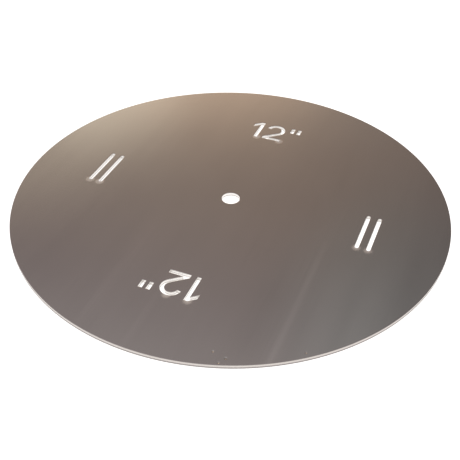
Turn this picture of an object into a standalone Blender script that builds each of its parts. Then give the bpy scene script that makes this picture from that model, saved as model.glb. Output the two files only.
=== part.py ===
"""Circle template: one round disc of laser-cut sheet steel with a centre hole.

A line scribed round the rim, with a pin or a pencil in the centre hole, gives a full circle.
The size number is cut through twice, head up and head down, and a pair of grip slots is cut
through on the left and on the right. The disc lies on its underside.

Frame: metres, +Z up, origin at the centre of the underside, +Y towards the head of the
upright size number, +X through the right-hand pair of slots.
"""

import math

import bmesh
import bpy

INCH = 0.0254
MM = 0.001

# The disc
DISC_DIAMETER = 12 * INCH
SHEET_THICKNESS = 2.66 * MM  # 12 gauge sheet
BORE_DIAMETER = 0.5 * INCH

# The size number: a 1, a 2 and two inch ticks, each a cut of one stroke width
NUMBER_HEIGHT = 21.5 * MM
NUMBER_CENTRE_RADIUS = 94.25 * MM
STROKE_WIDTH = 2.7 * MM
ONE_WIDTH = 7.6 * MM
TWO_WIDTH = 14.4 * MM
TICK_HEIGHT = 6.4 * MM
CHARACTER_GAP = 4.2 * MM
TICK_GAP = 2.6 * MM

# The grip slots, which run along Y with full-round ends
SLOT_LENGTH = 36.0 * MM
SLOT_WIDTH = 2.75 * MM
SLOT_PITCH = 7.8 * MM
SLOTS_PER_SIDE = 2
OUTER_SLOT_RADIUS = 103.4 * MM

# Straight runs that stand for each round stretch
RIM_SEGMENTS = 240
BORE_SEGMENTS = 64
SLOT_END_SEGMENTS = 12
DIGIT_ARC_SEGMENTS = 24

STEEL_COLOUR = (0.27, 0.245, 0.225, 1.0)
STEEL_ROUGHNESS = 0.38
SHARP_ANGLE = math.radians(30)


def arc(centre, radius, start, end, segments):
    """Points on an arc from one angle to another, both ends included."""
    points = []
    for i in range(segments + 1):
        angle = start + (end - start) * i / segments
        points.append((centre[0] + radius * math.cos(angle), centre[1] + radius * math.sin(angle)))
    return points


def circle_outline(diameter, segments):
    return arc((0, 0), diameter / 2, 0, math.tau, segments)[:-1]


def rectangle_outline(left, bottom, width, height):
    return [
        (left, bottom),
        (left + width, bottom),
        (left + width, bottom + height),
        (left, bottom + height),
    ]


def slot_outline(centre_x):
    """A slot along Y on the X axis, with a half circle at each end."""
    radius = SLOT_WIDTH / 2
    end_y = SLOT_LENGTH / 2 - radius
    upper_end = arc((centre_x, end_y), radius, 0, math.pi, SLOT_END_SEGMENTS)
    lower_end = arc((centre_x, -end_y), radius, math.pi, math.tau, SLOT_END_SEGMENTS)
    return upper_end + lower_end


def one_outline(left):
    """The digit 1: an upright stem with a slanted flag, standing on y = 0."""
    stem_right = left + ONE_WIDTH
    stem_left = stem_right - STROKE_WIDTH
    slope = 0.8
    flag_drop = slope * (stem_left - left)
    flag_depth = STROKE_WIDTH * math.hypot(1, slope)
    return [
        (stem_left, 0),
        (stem_right, 0),
        (stem_right, NUMBER_HEIGHT),
        (stem_left, NUMBER_HEIGHT),
        (left, NUMBER_HEIGHT - flag_drop),
        (left, NUMBER_HEIGHT - flag_drop - flag_depth),
        (stem_left, NUMBER_HEIGHT - flag_depth),
    ]


def two_outline(left):
    """The digit 2: a round bowl, a diagonal tangent to it and a flat foot, standing on y = 0."""
    outer_radius = TWO_WIDTH / 2
    inner_radius = outer_radius - STROKE_WIDTH
    centre = (left + outer_radius, NUMBER_HEIGHT - outer_radius)
    # The diagonal's upper edge leaves the top of the foot's left end and touches the bowl's inner arc.
    rise = centre[1] - STROKE_WIDTH
    run = centre[0] - left
    diagonal = math.atan2(rise, run) - math.asin(inner_radius / math.hypot(rise, run))
    touch = diagonal - math.pi / 2
    terminal = math.radians(168)
    outer_arc = arc(centre, outer_radius, touch, terminal, DIGIT_ARC_SEGMENTS)
    inner_arc = arc(centre, inner_radius, terminal, touch, DIGIT_ARC_SEGMENTS)
    fall = outer_arc[0][1] - STROKE_WIDTH
    foot_corner_x = outer_arc[0][0] - fall / math.tan(diagonal)
    foot = [
        (left, STROKE_WIDTH),
        (left, 0),
        (left + TWO_WIDTH, 0),
        (left + TWO_WIDTH, STROKE_WIDTH),
        (foot_corner_x, STROKE_WIDTH),
    ]
    return foot + outer_arc + inner_arc


def number_outlines():
    """The cuts of one size number, with the middle of its box at the origin."""
    two_left = ONE_WIDTH + CHARACTER_GAP
    first_tick = two_left + TWO_WIDTH + CHARACTER_GAP
    second_tick = first_tick + STROKE_WIDTH + TICK_GAP
    tick_bottom = NUMBER_HEIGHT - TICK_HEIGHT
    cuts = [one_outline(0), two_outline(two_left)]
    for tick_left in (first_tick, second_tick):
        cuts.append(rectangle_outline(tick_left, tick_bottom, STROKE_WIDTH, TICK_HEIGHT))
    number_width = second_tick + STROKE_WIDTH
    return [
        [(x - number_width / 2, y - NUMBER_HEIGHT / 2) for x, y in outline] for outline in cuts
    ]


def head_up(outline):
    """Moves a number's cut to its place at the +Y side of the disc."""
    return [(x, y + NUMBER_CENTRE_RADIUS) for x, y in outline]


def half_turn(outline):
    """Turns an outline by 180 degrees about the disc's axis."""
    return [(-x, -y) for x, y in outline]


def cut_outlines():
    """Every opening that is cut through the sheet."""
    cuts = [circle_outline(BORE_DIAMETER, BORE_SEGMENTS)]
    for outline in number_outlines():
        cuts.append(head_up(outline))
        cuts.append(half_turn(head_up(outline)))
    for i in range(SLOTS_PER_SIDE):
        slot = slot_outline(OUTER_SLOT_RADIUS - i * SLOT_PITCH)
        cuts.append(slot)
        cuts.append(half_turn(slot))
    return cuts


def add_loop(bm, outline):
    """Adds a closed loop of edges at z = 0 and returns the edges."""
    verts = [bm.verts.new((x, y, 0)) for x, y in outline]
    return [bm.edges.new((verts[i - 1], vert)) for i, vert in enumerate(verts)]


def cut_sheet_mesh(name, rim, cuts, thickness):
    """A flat sheet inside the rim with the cuts left open, raised from z = 0 to its thickness."""
    bm = bmesh.new()
    edges = add_loop(bm, rim)
    for outline in cuts:
        edges += add_loop(bm, outline)
    bmesh.ops.triangle_fill(bm, edges=edges, use_beauty=True)
    raised = bmesh.ops.extrude_face_region(bm, geom=bm.faces[:])
    upper_verts = [item for item in raised["geom"] if isinstance(item, bmesh.types.BMVert)]
    bmesh.ops.translate(bm, verts=upper_verts, vec=(0, 0, thickness))
    bmesh.ops.recalc_face_normals(bm, faces=bm.faces[:])
    mesh = bpy.data.meshes.new(name)
    bm.to_mesh(mesh)
    bm.free()
    return mesh


def steel_material():
    material = bpy.data.materials.new("rolled_steel")
    material.use_nodes = True
    shader = material.node_tree.nodes["Principled BSDF"]
    shader.inputs["Base Color"].default_value = STEEL_COLOUR
    shader.inputs["Metallic"].default_value = 1.0
    shader.inputs["Roughness"].default_value = STEEL_ROUGHNESS
    return material


def make_template_disc():
    rim = circle_outline(DISC_DIAMETER, RIM_SEGMENTS)
    mesh = cut_sheet_mesh("template_disc", rim, cut_outlines(), SHEET_THICKNESS)
    mesh.materials.append(steel_material())
    mesh.shade_smooth()
    mesh.set_sharp_from_angle(angle=SHARP_ANGLE)
    disc = bpy.data.objects.new("template_disc", mesh)
    bpy.context.scene.collection.objects.link(disc)
    return disc


def main():
    for existing in list(bpy.data.objects):
        bpy.data.objects.remove(existing)
    make_template_disc()


main()
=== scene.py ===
"""Looks of the circle template: a laser-cut disc of cold-rolled sheet steel on a pale floor.

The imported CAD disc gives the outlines, the diameter and the thickness. This script rebuilds it
as one fine mesh, with true curves, broken edges and a laser-cut wall, and paints it with
procedural steel. Lengths are in metres in the part's frame, unless a comment says millimetres.
"""

import math

import bmesh
import bpy
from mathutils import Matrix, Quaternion, Vector, noise


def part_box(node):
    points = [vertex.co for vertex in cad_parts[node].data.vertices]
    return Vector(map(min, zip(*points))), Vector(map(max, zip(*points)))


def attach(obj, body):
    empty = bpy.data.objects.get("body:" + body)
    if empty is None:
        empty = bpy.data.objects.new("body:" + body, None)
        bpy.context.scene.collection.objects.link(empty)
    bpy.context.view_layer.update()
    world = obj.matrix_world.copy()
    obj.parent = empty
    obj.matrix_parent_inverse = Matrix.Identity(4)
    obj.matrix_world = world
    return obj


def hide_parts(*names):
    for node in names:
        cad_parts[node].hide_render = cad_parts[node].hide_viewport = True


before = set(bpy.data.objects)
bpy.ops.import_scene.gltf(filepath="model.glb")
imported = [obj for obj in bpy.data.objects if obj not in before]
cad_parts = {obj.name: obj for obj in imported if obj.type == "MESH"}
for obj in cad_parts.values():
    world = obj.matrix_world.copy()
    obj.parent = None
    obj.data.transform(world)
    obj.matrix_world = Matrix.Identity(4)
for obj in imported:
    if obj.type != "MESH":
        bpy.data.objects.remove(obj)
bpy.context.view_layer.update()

MM = 0.001
NODE = "template_disc"
LOWEST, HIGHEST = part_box(NODE)
THICKNESS = HIGHEST.z - LOWEST.z
RADIUS = (HIGHEST.x - LOWEST.x) / 2

# Corners of the CAD mesh that are closer than this are one corner
CAD_WELD = 0.001 * MM
# The upper face is where the normal's z is above this
FACES_UP = 0.9
# The rim is the outline that reaches beyond this share of the radius
RIM_REACH = 0.9

# An outline corner that turns by less than this belongs to a curve
SMOOTH_TURN = math.radians(25)
# The steps along the fine outlines
RIM_STEP = 0.4 * MM
CUT_STEP = 0.3 * MM

# The cut edge: rounded where it meets each face, with drag lines down the wall
EDGE_ROUNDING = 0.09 * MM
WALL_ROWS = 5
DRAG_DEPTH = 0.04 * MM
DRAG_PITCH = 1.6 * MM
DRAG_LAG = 0.5 * MM
# The share of their depth that the drag lines lose on the way up the wall
DRAG_FADE = 0.75
# Shading breaks at an edge sharper than this
SHARP_ANGLE = math.radians(50)
# Vertices of the fine disc that are closer than this are merged
WELD = 0.002 * MM

# The fine disc's material slots
FACE, RIM_WALL, CUT_WALL = range(3)

# The heat tint: how strong it is on the wall, and at each distance from it across the faces
WALL_HEAT = 1.0
HEAT_BAND = ((0.4 * MM, 0.5), (0.95 * MM, 0.0))
# The cuts have that tint and the rim has none
RIM_TINT = 0.0
CUT_TINT = 1.0
# At a sharp tip of metal, the share of the half width that a band may take
TIP_SHARE = 0.55

# The camera: where it stands, from -Y towards +X round the disc, and what it aims at
CAMERA_TURN = math.radians(21.5)
CAMERA_ELEVATION = math.radians(37.0)
CAMERA_DISTANCE = 3.424 * RADIUS
CAMERA_LENS_MM = 57.62
CAMERA_SENSOR_MM = 36.0
CAMERA_NEAREST = 0.01
CAMERA_ROLL = math.radians(-0.8)
AIM_SHORT_OF_CENTRE = 0.232 * RADIUS
AIM_LEFT_OF_CENTRE = 0.0014 * RADIUS

# The floor: pale, faintly mottled and glowing; its pattern is per millimetre
FLOOR_SIZE = 12.0
FLOOR_GAP = 0.1 * MM
FLOOR_TONES = ((0.86, 0.86, 0.855, 1), (0.9, 0.9, 0.895, 1))
FLOOR_MOTTLE = 0.02
FLOOR_ROUGHNESS = 0.8
FLOOR_GLOW = 1.0
FLOOR_GLOW_COLOUR = (1.0, 0.995, 0.985, 1)

# The room: a white backdrop, dim light all round, and a paler band of light at the horizon
BACKDROP_COLOUR = (1.0, 1.0, 1.0, 1)
ROOM_COLOUR = (0.10, 0.05, 0.05)
HORIZON_COLOUR = (0.45, 0.50, 0.50)
HORIZON_HEIGHT = 0.30

# The lamps' colours
WARM = (1.0, 0.9, 0.7)
AMBER = (1.0, 0.7, 0.45)
NEUTRAL = (0.95, 1.0, 1.0)
COOL = (0.6, 1.0, 1.0)
# Each lamp is brightest in its middle: bearing from +Y towards +X, elevation and radius in
# degrees, strength and colour
LAMPS = (
    (-32.0, 26.0, 8.0, 0.60, WARM),
    (-42.0, 27.0, 12.0, 0.35, WARM),
    (-22.0, 19.0, 15.0, 0.60, AMBER),
    (-20.0, 20.0, 28.0, 0.23, WARM),
    (0.0, 45.0, 14.0, 0.10, COOL),
    (-65.0, 75.0, 48.0, 0.42, NEUTRAL),
    (75.0, 40.0, 45.0, 0.20, NEUTRAL),
    (165.0, 40.0, 45.0, 0.20, NEUTRAL),
    (-105.0, 40.0, 48.0, 0.20, NEUTRAL),
)

# Lighter and darker streaks on the upper face, along the rolling direction, in millimetres: the
# middle's x, the half width, the y where the streak starts and ends, and how much it lightens
# the steel (below zero it darkens it)
TONE_STREAKS = (
    (76.0, 3.5, -180.0, 0.0, 0.09),
    (77.0, 8.0, -200.0, -70.0, 0.045),
    (94.0, 12.0, -150.0, -20.0, 0.05),
    (116.0, 12.0, -130.0, -5.0, 0.055),
    (59.0, 16.0, -150.0, -20.0, -0.045),
    (137.0, 13.0, -120.0, 20.0, -0.06),
    (-5.0, 3.5, -180.0, -50.0, 0.035),
    (-33.0, 18.0, -150.0, -20.0, 0.04),
    (-38.0, 4.0, -180.0, -60.0, 0.02),
    (-81.0, 5.0, -150.0, -80.0, 0.02),
)
# The lengths over which a mark rises at its start and fades at its end, in millimetres
STREAK_RISE = 30.0
STREAK_FADE = 60.0

# Small dings in the upper face near the rim, in millimetres: x, y and radius
DINGS = (
    (44.0, -135.5, 1.0),
    (52.5, -137.5, 1.3),
    (50.0, -142.0, 1.0),
    (92.5, -116.5, 0.9),
)
DING_DEPTH = 0.15 * MM

# Where the laser pierced a cut whose outline is longer than this, the upper face has a rough
# spot whose steel is painted paler there as a painted glint; its radius is in millimetres
LONG_CUT = 50 * MM
SPATTER_AND_GLINT_RADIUS = 4.2
PIERCE_GLINT_PAINT = 0.6
SPATTER_ROUGHNESS = 0.45

# The rolled face: its patterns' scales are per millimetre, across, along and through the sheet
STEEL_COLOUR = (0.60, 0.58, 0.56)
GRAIN_SCALE = (4.5, 0.03, 1.0)
BAND_SCALE = (0.09, 0.004, 1.0)
SMUDGE_SCALE = 0.02
GRAIN_TONE = 0.10
BAND_TONE = 0.05
SMUDGE_TONE = 0.04
FACE_ROUGHNESS = 0.13
GRAIN_ROUGHNESS = 0.03
SMUDGE_ROUGHNESS = 0.03
GRAIN_BUMP = 0.0004 * MM
SMUDGE_BUMP = 0.02 * MM
# The heat tint's colour, and how much of it shows where the heat is full
TINT_COLOUR = (0.30, 0.265, 0.24, 1)
TINT_SHARE = 0.35

# The walls' lower and upper colours, which blend between two shares of the thickness
RIM_WALL_COLOURS = ((0.31, 0.29, 0.28, 1), (0.58, 0.545, 0.52, 1))
# Painted light: the cut walls are the same steel as the rim wall, painted paler to stand for the
# bright light in the openings
CUT_WALL_PAINTED_LIGHT_COLOURS = ((0.64, 0.62, 0.60, 1), (0.82, 0.80, 0.78, 1))
BRIGHT_FROM = 0.34
BRIGHT_TO = 0.54
# The walls' lower and upper roughness, which blend in the same way
LOWER_ROUGHNESS = 0.5
UPPER_ROUGHNESS = 0.32
SMOOTH_FROM = 0.2
SMOOTH_TO = 0.7
# The fine upright lines in the walls
LINES_PER_MM = 3.0
LINE_TONE = 0.3
LINE_BUMP = 0.01 * MM


# ---------------------------------------------------------------- node helpers


class Nodes:
    """A short way to write a node tree."""

    def __init__(self, tree):
        self.tree = tree
        tree.nodes.clear()

    def add(self, kind, **settings):
        node = self.tree.nodes.new("ShaderNode" + kind)
        for name, value in settings.items():
            setattr(node, name, value)
        return node

    def feed(self, socket, value):
        """Links a socket to another, or sets a plain number or colour on it."""
        if isinstance(value, bpy.types.NodeSocket):
            self.tree.links.new(value, socket)
        else:
            socket.default_value = value

    def filled(self, node, **values):
        """Feeds a node's inputs by name, with _ for a space."""
        for name, value in values.items():
            self.feed(node.inputs[name.replace("_", " ")], value)
        return node

    def math(self, operation, *values):
        node = self.add("Math", operation=operation)
        for socket, value in zip(node.inputs, values):
            self.feed(socket, value)
        return node.outputs[0]

    def vector(self, operation, *values):
        node = self.add("VectorMath", operation=operation)
        for socket, value in zip(node.inputs, values):
            self.feed(socket, value)
        is_number = operation in ("DOT_PRODUCT", "DISTANCE")
        return node.outputs["Value" if is_number else "Vector"]

    def scaled(self, vector, factor):
        node = self.add("VectorMath", operation="SCALE")
        self.feed(node.inputs["Vector"], vector)
        self.feed(node.inputs["Scale"], factor)
        return node.outputs["Vector"]

    def noise(self, vector, detail=2.0, roughness=0.5):
        node = self.filled(
            self.add("TexNoise"), Vector=vector, Scale=1.0, Detail=detail, Roughness=roughness
        )
        return node.outputs["Fac"]

    def remap(self, value, low, high, to_low=0.0, to_high=1.0):
        """Maps low..high smoothly to to_low..to_high, and holds it at both ends."""
        node = self.add("MapRange", interpolation_type="SMOOTHSTEP")
        self.filled(
            node, Value=value, From_Min=low, From_Max=high, To_Min=to_low, To_Max=to_high
        )
        return node.outputs["Result"]

    def mix(self, factor, colour_a, colour_b):
        node = self.add("Mix", data_type="RGBA")
        sockets = [s for s in node.inputs if s.enabled]
        for socket, value in zip(sockets, (factor, colour_a, colour_b)):
            self.feed(socket, value)
        return next(s for s in node.outputs if s.enabled)

    def bump(self, height, distance, normal=None):
        node = self.filled(self.add("Bump"), Height=height, Distance=distance)
        if normal is not None:
            self.feed(node.inputs["Normal"], normal)
        return node.outputs["Normal"]


def new_material(name):
    material = bpy.data.materials.new(name)
    material.use_nodes = True
    nodes = Nodes(material.node_tree)
    shader = nodes.add("BsdfPrincipled")
    nodes.feed(nodes.add("OutputMaterial").inputs["Surface"], shader.outputs["BSDF"])
    return material, nodes, shader


def link(thing):
    bpy.context.scene.collection.objects.link(thing)
    return thing


# ---------------------------------------------------------------- camera, floor and light


def bearing_vector(bearing, elevation):
    """The unit vector at a compass bearing from +Y towards +X, and an elevation."""
    level = math.cos(elevation)
    return Vector((math.sin(bearing) * level, math.cos(bearing) * level, math.sin(elevation)))


def make_camera():
    """A camera that looks down across the disc and aims a little short of its centre."""
    bearing = math.pi - CAMERA_TURN
    centre = Vector((0, 0, HIGHEST.z))
    aim = centre + bearing_vector(bearing, 0) * AIM_SHORT_OF_CENTRE
    aim += bearing_vector(bearing + math.pi / 2, 0) * AIM_LEFT_OF_CENTRE
    data = bpy.data.cameras.new("camera")
    data.lens = CAMERA_LENS_MM
    data.sensor_width = CAMERA_SENSOR_MM
    data.clip_start = CAMERA_NEAREST
    camera = link(bpy.data.objects.new("camera", data))
    camera.location = centre + bearing_vector(bearing, CAMERA_ELEVATION) * CAMERA_DISTANCE
    forward = (aim - camera.location).normalized()
    camera.rotation_mode = "QUATERNION"
    camera.rotation_quaternion = Quaternion(forward, CAMERA_ROLL) @ forward.to_track_quat("-Z", "Y")
    bpy.context.scene.camera = camera


def make_floor():
    """A plain pale floor that glows, as a light table does."""
    material, nodes, shader = new_material("pale_floor")
    at = nodes.scaled(nodes.add("TexCoord").outputs["Object"], 1 / MM)
    mottle = nodes.noise(nodes.scaled(at, FLOOR_MOTTLE), detail=3)
    tone = nodes.mix(mottle, *FLOOR_TONES)
    nodes.filled(
        shader,
        Base_Color=tone,
        Roughness=FLOOR_ROUGHNESS,
        Emission_Color=FLOOR_GLOW_COLOUR,
        Emission_Strength=FLOOR_GLOW,
    )
    half = FLOOR_SIZE / 2
    corners = [(-half, -half, 0), (half, -half, 0), (half, half, 0), (-half, half, 0)]
    mesh = bpy.data.meshes.new("floor")
    mesh.from_pydata(corners, [], [(0, 1, 2, 3)])
    mesh.materials.append(material)
    floor = link(bpy.data.objects.new("floor", mesh))
    floor.location.z = LOWEST.z - FLOOR_GAP


def make_room_light():
    """Light from all round: a dim room, a pale horizon, and soft round lamps that fade out.

    The disc is lit by them and mirrors them, while the backdrop itself is plain white.
    """
    world = bpy.data.worlds.new("studio")
    world.use_nodes = True
    bpy.context.scene.world = world
    nodes = Nodes(world.node_tree)
    direction = nodes.add("TexCoord").outputs["Generated"]
    height = nodes.filled(nodes.add("SeparateXYZ"), Vector=direction).outputs["Z"]
    level = nodes.math("DIVIDE", height, HORIZON_HEIGHT)
    fall = nodes.math("MULTIPLY", nodes.math("MULTIPLY", level, level), -1.0)
    near_horizon = nodes.math("EXPONENT", fall)
    light = nodes.vector("ADD", ROOM_COLOUR, nodes.scaled(HORIZON_COLOUR, near_horizon))
    for bearing, elevation, radius, strength, colour in LAMPS:
        towards = bearing_vector(math.radians(bearing), math.radians(elevation))
        facing = nodes.vector("DOT_PRODUCT", direction, towards)
        lit = nodes.remap(facing, math.cos(math.radians(radius)), 1.0, 0.0, strength)
        light = nodes.vector("ADD", light, nodes.scaled(colour, lit))
    seen = nodes.add("LightPath").outputs["Is Camera Ray"]
    colour = nodes.mix(seen, light, BACKDROP_COLOUR)
    background = nodes.filled(nodes.add("Background"), Color=colour, Strength=1.0)
    nodes.feed(nodes.add("OutputWorld").inputs["Surface"], background.outputs["Background"])
    bpy.context.scene.view_settings.view_transform = "Standard"


# ---------------------------------------------------------------- the outlines


def upper_outlines(mesh):
    """The closed outlines of the CAD disc's upper face as lists of 2D points, metal on the left."""
    bm = bmesh.new()
    bm.from_mesh(mesh)
    bmesh.ops.remove_doubles(bm, verts=bm.verts[:], dist=CAD_WELD)
    upper = {face for face in bm.faces if face.normal.z > FACES_UP}
    following = {}
    for face in sorted(upper, key=lambda f: f.index):
        for loop in face.loops:
            if not all(other in upper for other in loop.edge.link_faces):
                following[loop.vert] = loop.link_loop_next.vert
    outlines = []
    while following:
        start = next(iter(following))
        outline = [start.co.xy.copy()]
        vert = following.pop(start)
        while vert is not start:
            outline.append(vert.co.xy.copy())
            vert = following.pop(vert)
        outlines.append(outline)
    bm.free()
    return outlines


def direction_at(before, point, after, chord):
    """The outline's direction at a point: along its curve, or along the chord at a corner."""
    turn = abs((point - before).angle_signed(after - point))
    return (after - before if turn < SMOOTH_TURN else chord).normalized()


def refined(outline, step):
    """The outline again in short steps, with its round stretches as curves and its corners kept."""
    count = len(outline)
    points = []
    for i in range(count):
        before, start, end, after = (outline[(i + k) % count] for k in (-1, 0, 1, 2))
        chord = end - start
        leave = direction_at(before, start, end, chord) * chord.length
        arrive = direction_at(start, end, after, chord) * chord.length
        steps = max(1, round(chord.length / step))
        for n in range(steps):
            t = n / steps
            rise = t * t * (3 - 2 * t)
            points.append(
                start + chord * rise + leave * (t * (1 - t) ** 2) - arrive * (t * t * (1 - t))
            )
    return points


def inward_directions(points):
    """For each point, the way into the metal, longer at a corner so that offsets keep their width."""
    count = len(points)
    ways = []
    for i in range(count):
        arriving = (points[i] - points[i - 1]).normalized()
        leaving = (points[(i + 1) % count] - points[i]).normalized()
        along = arriving + leaving
        mitre = 1 + arriving.dot(leaving)
        ways.append(Vector((-along.y, along.x)) / mitre)
    return ways


def distances_along(points):
    """How far along the outline each point lies."""
    runs = [0.0]
    for start, end in zip(points, points[1:]):
        runs.append(runs[-1] + (end - start).length)
    return runs


# ---------------------------------------------------------------- the fine disc


def room_at_tips(points):
    """How far in each point may move: little beside a sharp tip of metal, where it is narrow."""
    rooms = [math.inf] * len(points)
    for i, tip in enumerate(points):
        arriving = tip - points[i - 1]
        leaving = points[(i + 1) % len(points)] - tip
        turn = -arriving.angle_signed(leaving)
        if turn < SMOOTH_TURN:
            continue
        slope = 1 / math.tan(turn / 2)
        for k, point in enumerate(points):
            rooms[k] = min(rooms[k], EDGE_ROUNDING + TIP_SHARE * slope * (point - tip).length)
    return rooms


def wall_profile():
    """(distance into the metal, height, depth of the drag lines) from the lower face to the upper."""
    lower = []
    for angle in (math.pi / 2, math.pi / 4):
        sink = EDGE_ROUNDING * (1 - math.cos(angle))
        lower.append((sink, EDGE_ROUNDING * (1 - math.sin(angle)), 0.0))
    wall = []
    for row in range(WALL_ROWS):
        share = row / (WALL_ROWS - 1)
        height = EDGE_ROUNDING + share * (THICKNESS - 2 * EDGE_ROUNDING)
        wall.append((0.0, height, 1.0 - DRAG_FADE * share))
    upper = [(sink, THICKNESS - height, depth) for sink, height, depth in reversed(lower)]
    return lower + wall + upper


def drag(run, height, seed):
    """How far the laser's drag lines sink the wall, 0 to 1. They trail towards the lower face."""
    trail = DRAG_LAG * (1 - height / THICKNESS) ** 2
    place = Vector(((run + trail) / DRAG_PITCH, height / THICKNESS, seed))
    return 0.5 + 0.5 * noise.noise(place)


class DiscBuilder:
    """Collects the rings of vertices round each outline, and the faces between them."""

    def __init__(self):
        self.bm = bmesh.new()
        self.heat = self.bm.verts.layers.float.new("heat")
        self.run = self.bm.verts.layers.float.new("run")
        self.fill_edges = {True: [], False: []}

    def ring(self, places, runs, height, heat):
        """The vertices at one height, or on one face, that follow an outline."""
        verts = []
        for place, run in zip(places, runs):
            vert = self.bm.verts.new((place.x, place.y, LOWEST.z + height))
            vert[self.heat] = heat
            vert[self.run] = run
            verts.append(vert)
        return verts

    def strip(self, lower, upper, material_index, smooth):
        """Quads between two rings of equal length."""
        for i, vert in enumerate(lower):
            face = self.bm.faces.new((lower[i - 1], vert, upper[i], upper[i - 1]))
            face.material_index = material_index
            face.smooth = smooth

    def outline(self, points, seed, wall_slot, tint):
        """The wall of one outline, and the bands beside it on both faces, heat-tinted by tint."""
        ways = inward_directions(points)
        runs = distances_along(points)
        rooms = room_at_tips(points)
        rings = []
        for inset, height, drag_share in wall_profile():
            places = []
            for point, way, run in zip(points, ways, runs):
                sink = inset + DRAG_DEPTH * drag_share * drag(run, height, seed)
                places.append(point + way * sink)
            rings.append(self.ring(places, runs, height, tint * WALL_HEAT))
        for lower, upper in zip(rings, rings[1:]):
            self.strip(lower, upper, wall_slot, True)
        for is_upper, edge_ring in ((True, rings[-1]), (False, rings[0])):
            height = THICKNESS if is_upper else 0.0
            last = edge_ring
            for distance, heat in HEAT_BAND:
                places = [p + w * min(distance, r) for p, w, r in zip(points, ways, rooms)]
                ring = self.ring(places, runs, height, tint * heat)
                self.strip(last, ring, FACE, False)
                last = ring
            self.fill_edges[is_upper] += [
                self.bm.edges.get((last[i - 1], vert)) for i, vert in enumerate(last)
            ]

    def mesh(self, name):
        """Fills both faces between the bands, merges close vertices and returns the mesh."""
        for edges in self.fill_edges.values():
            filled = bmesh.ops.triangle_fill(self.bm, edges=edges, use_beauty=True)
            for face in filled["geom"]:
                if isinstance(face, bmesh.types.BMFace):
                    face.smooth = False
        bmesh.ops.remove_doubles(self.bm, verts=self.bm.verts[:], dist=WELD)
        bmesh.ops.recalc_face_normals(self.bm, faces=self.bm.faces[:])
        mesh = bpy.data.meshes.new(name)
        self.bm.to_mesh(mesh)
        self.bm.free()
        return mesh


def make_disc():
    """The fine disc, which stands for the CAD disc."""
    builder = DiscBuilder()
    pierce_spots = []
    for seed, outline in enumerate(upper_outlines(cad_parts[NODE].data)):
        is_rim = max(point.length for point in outline) > RIM_REACH * RADIUS
        if is_rim:
            builder.outline(refined(outline, RIM_STEP), seed, RIM_WALL, RIM_TINT)
        else:
            points = refined(outline, CUT_STEP)
            builder.outline(points, seed, CUT_WALL, CUT_TINT)
            if distances_along(points)[-1] > LONG_CUT:
                pierce_spots.append(min(points, key=lambda point: point.y))
    mesh = builder.mesh("sheet_steel_disc")
    mesh.materials.append(face_steel(pierce_spots))
    mesh.materials.append(cut_steel("rim_wall_steel", *RIM_WALL_COLOURS))
    # The cut walls' steel is painted paler than the rim wall's: painted light
    mesh.materials.append(cut_steel("cut_wall_steel_painted_light", *CUT_WALL_PAINTED_LIGHT_COLOURS))
    mesh.set_sharp_from_angle(angle=SHARP_ANGLE)
    disc = link(bpy.data.objects.new("sheet_steel_disc", mesh))
    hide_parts(NODE)
    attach(disc, "root")


# ---------------------------------------------------------------- steel


def tone_streak(nodes, across, along, mark):
    """One soft-edged mark, from 0 off it to its strength on it."""
    middle, half_width, start, end, strength = mark
    off = nodes.math("ABSOLUTE", nodes.math("SUBTRACT", across, middle))
    width = nodes.remap(off, 0.0, half_width, strength, 0.0)
    rise = nodes.remap(along, start, start + STREAK_RISE)
    fall = nodes.remap(along, end - STREAK_FADE, end, 1.0, 0.0)
    return nodes.math("MULTIPLY", width, nodes.math("MULTIPLY", rise, fall))


def spot(nodes, at, x, y, radius):
    """A round spot on the upper face: 1 in its middle, fading to 0 at its radius."""
    distance = nodes.vector("DISTANCE", at, (x, y, THICKNESS / MM))
    return nodes.remap(distance, 0.0, radius, 1.0, 0.0)


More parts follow.
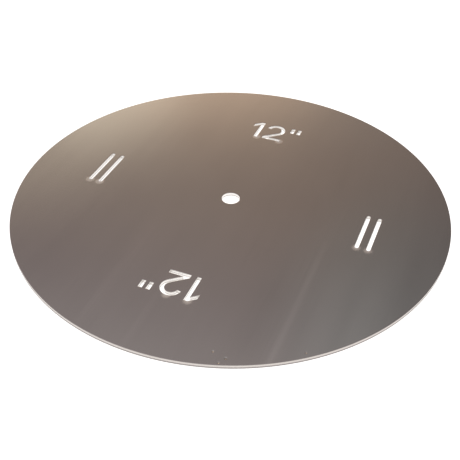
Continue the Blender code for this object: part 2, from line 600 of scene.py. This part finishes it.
def face_steel(pierce_spots):
    """Cold-rolled sheet: a fine grain along Y, soft bands, lighter and darker streaks, dings, pierce
    spots with a painted glint, and tinted cuts.
    """
    material, nodes, shader = new_material("face_steel")
    at = nodes.scaled(nodes.add("TexCoord").outputs["Object"], 1 / MM)
    place = nodes.filled(nodes.add("SeparateXYZ"), Vector=at)
    across, along, height = (place.outputs[axis] for axis in "XYZ")
    on_top = nodes.math("GREATER_THAN", height, THICKNESS / MM / 2)

    grain = nodes.noise(nodes.vector("MULTIPLY", at, GRAIN_SCALE), detail=2.0)
    bands = nodes.noise(nodes.vector("MULTIPLY", at, BAND_SCALE), detail=2.0)
    smudges = nodes.noise(nodes.scaled(at, SMUDGE_SCALE), detail=3.0)

    marks = 0.0
    for mark in TONE_STREAKS:
        marks = nodes.math("ADD", marks, tone_streak(nodes, across, along, mark))
    tone = nodes.math("MULTIPLY_ADD", marks, on_top, 1.0)
    for pattern, strength in ((grain, GRAIN_TONE), (bands, BAND_TONE), (smudges, SMUDGE_TONE)):
        tone = nodes.math("MULTIPLY_ADD", nodes.math("SUBTRACT", pattern, 0.5), strength, tone)
    pierced = 0.0
    for x, y in pierce_spots:
        pierced = nodes.math("MAXIMUM", pierced, spot(nodes, at, x / MM, y / MM, SPATTER_AND_GLINT_RADIUS))
    # Painted glint: the steel is painted paler round each pierce spot
    tone = nodes.math("MULTIPLY_ADD", pierced, PIERCE_GLINT_PAINT, tone)
    steel = nodes.scaled(STEEL_COLOUR, tone)
    heat = nodes.add("Attribute", attribute_name="heat").outputs["Fac"]
    heat_share = nodes.math("MULTIPLY", heat, TINT_SHARE)
    colour = nodes.mix(heat_share, steel, TINT_COLOUR)

    roughness = nodes.math("MULTIPLY_ADD", grain, GRAIN_ROUGHNESS, FACE_ROUGHNESS)
    roughness = nodes.math("MULTIPLY_ADD", smudges, SMUDGE_ROUGHNESS, roughness)
    roughness = nodes.math("MULTIPLY_ADD", pierced, SPATTER_ROUGHNESS, roughness)
    normal = nodes.bump(grain, GRAIN_BUMP)
    normal = nodes.bump(smudges, SMUDGE_BUMP, normal)
    dings = 0.0
    for x, y, radius in DINGS:
        dings = nodes.math("ADD", dings, spot(nodes, at, x, y, radius))
    normal = nodes.bump(nodes.math("MULTIPLY", dings, -1.0), DING_DEPTH, normal)
    nodes.filled(shader, Base_Color=colour, Metallic=1.0, Roughness=roughness, Normal=normal)
    return material


def cut_steel(name, lower_colour, upper_colour):
    """A laser-cut wall: bright and fine near the upper face, darker and coarser lower down."""
    material, nodes, shader = new_material(name)
    at = nodes.scaled(nodes.add("TexCoord").outputs["Object"], 1 / MM)
    height = nodes.filled(nodes.add("SeparateXYZ"), Vector=at).outputs["Z"]
    share = nodes.math("DIVIDE", height, THICKNESS / MM)
    run = nodes.math("DIVIDE", nodes.add("Attribute", attribute_name="run").outputs["Fac"], MM)
    along = nodes.math("MULTIPLY", run, LINES_PER_MM)
    place = nodes.filled(nodes.add("CombineXYZ"), X=along, Y=share, Z=0.0).outputs["Vector"]
    lines = nodes.noise(place, detail=2.0)
    bright = nodes.remap(share, BRIGHT_FROM, BRIGHT_TO)
    colour = nodes.mix(bright, lower_colour, upper_colour)
    shade = nodes.math("MULTIPLY_ADD", nodes.math("SUBTRACT", lines, 0.5), LINE_TONE, 1.0)
    colour = nodes.scaled(colour, shade)
    roughness = nodes.remap(share, SMOOTH_FROM, SMOOTH_TO, LOWER_ROUGHNESS, UPPER_ROUGHNESS)
    normal = nodes.bump(lines, LINE_BUMP)
    nodes.filled(shader, Base_Color=colour, Metallic=1.0, Roughness=roughness, Normal=normal)
    return material


make_camera()
make_floor()
make_room_light()
make_disc()
